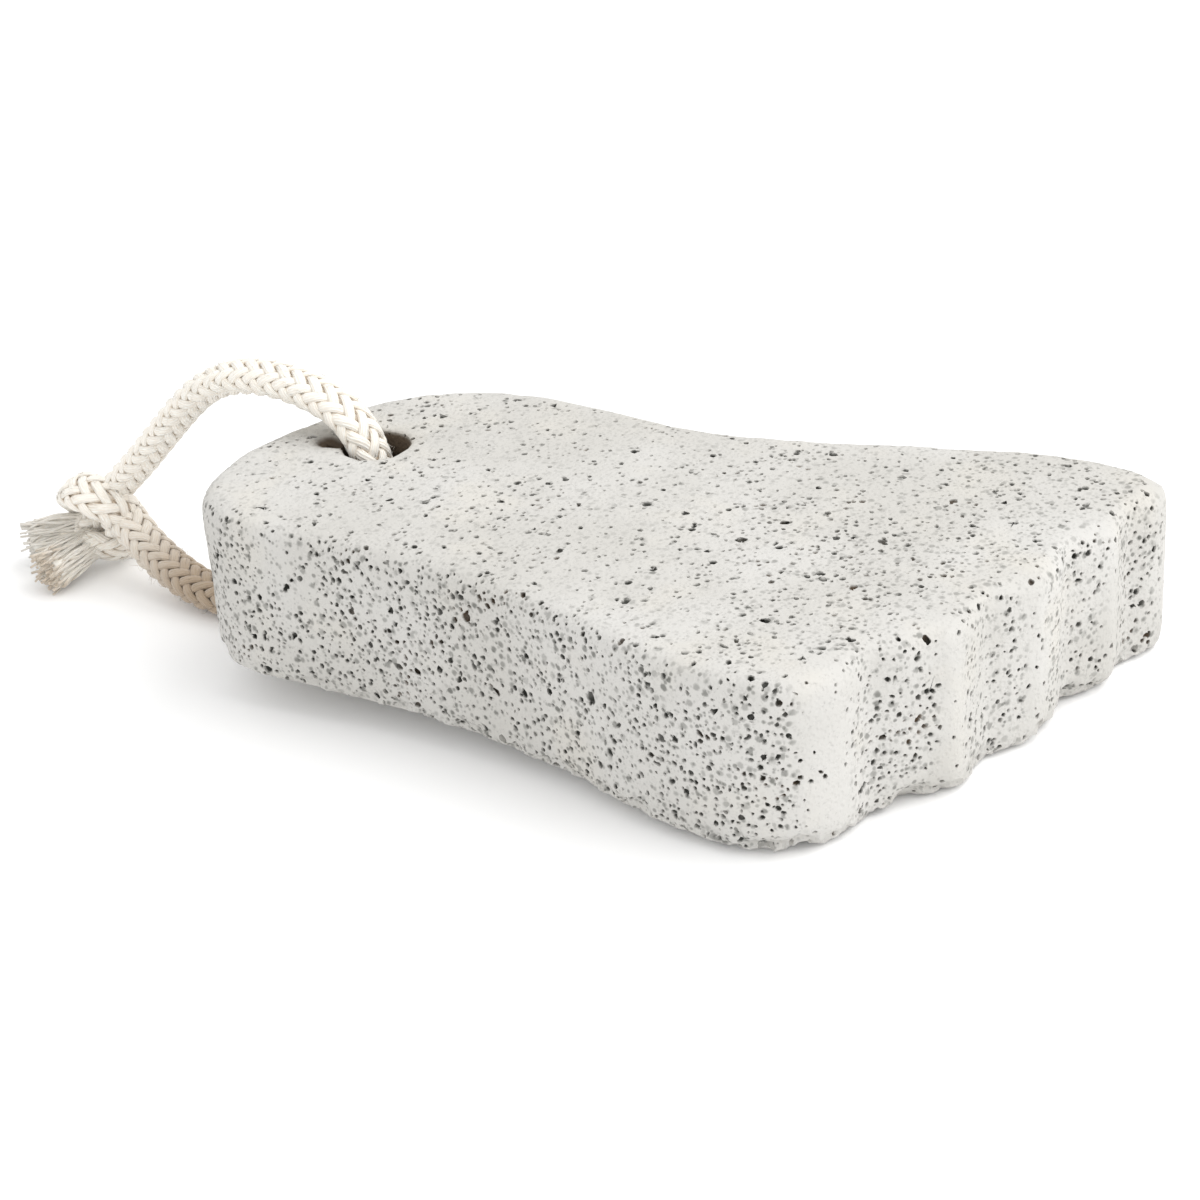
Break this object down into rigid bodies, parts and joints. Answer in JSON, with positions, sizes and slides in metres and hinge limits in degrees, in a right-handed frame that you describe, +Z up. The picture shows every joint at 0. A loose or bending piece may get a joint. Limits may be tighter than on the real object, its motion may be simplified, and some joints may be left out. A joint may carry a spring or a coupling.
{
  "type": "pumice stone",
  "caption": "Foot-shaped pumice stone with scalloped toes and a drilled heel, lying on a knotted loop of braided cord used to hang it up.",
  "frame": {"origin": "centre of the stone's box, on the floor that it lies on", "axes": "+X along the stone from the heel to the toes, +Y across it towards the side of the largest toe, +Z up"},
  "size_m": [0.1451, 0.0606, 0.0326],
  "materials": {
    "pumice": "rough, porous",
    "cotton_cord": "matte braided cotton"
  },
  "bodies": {
    "root": {"pumice_stone": "pumice", "rope_loop": "cotton_cord", "rope_knot": "cotton_cord", "rope_tail_1": "cotton_cord", "rope_tail_2": "cotton_cord"}
  },
  "joints": []
}
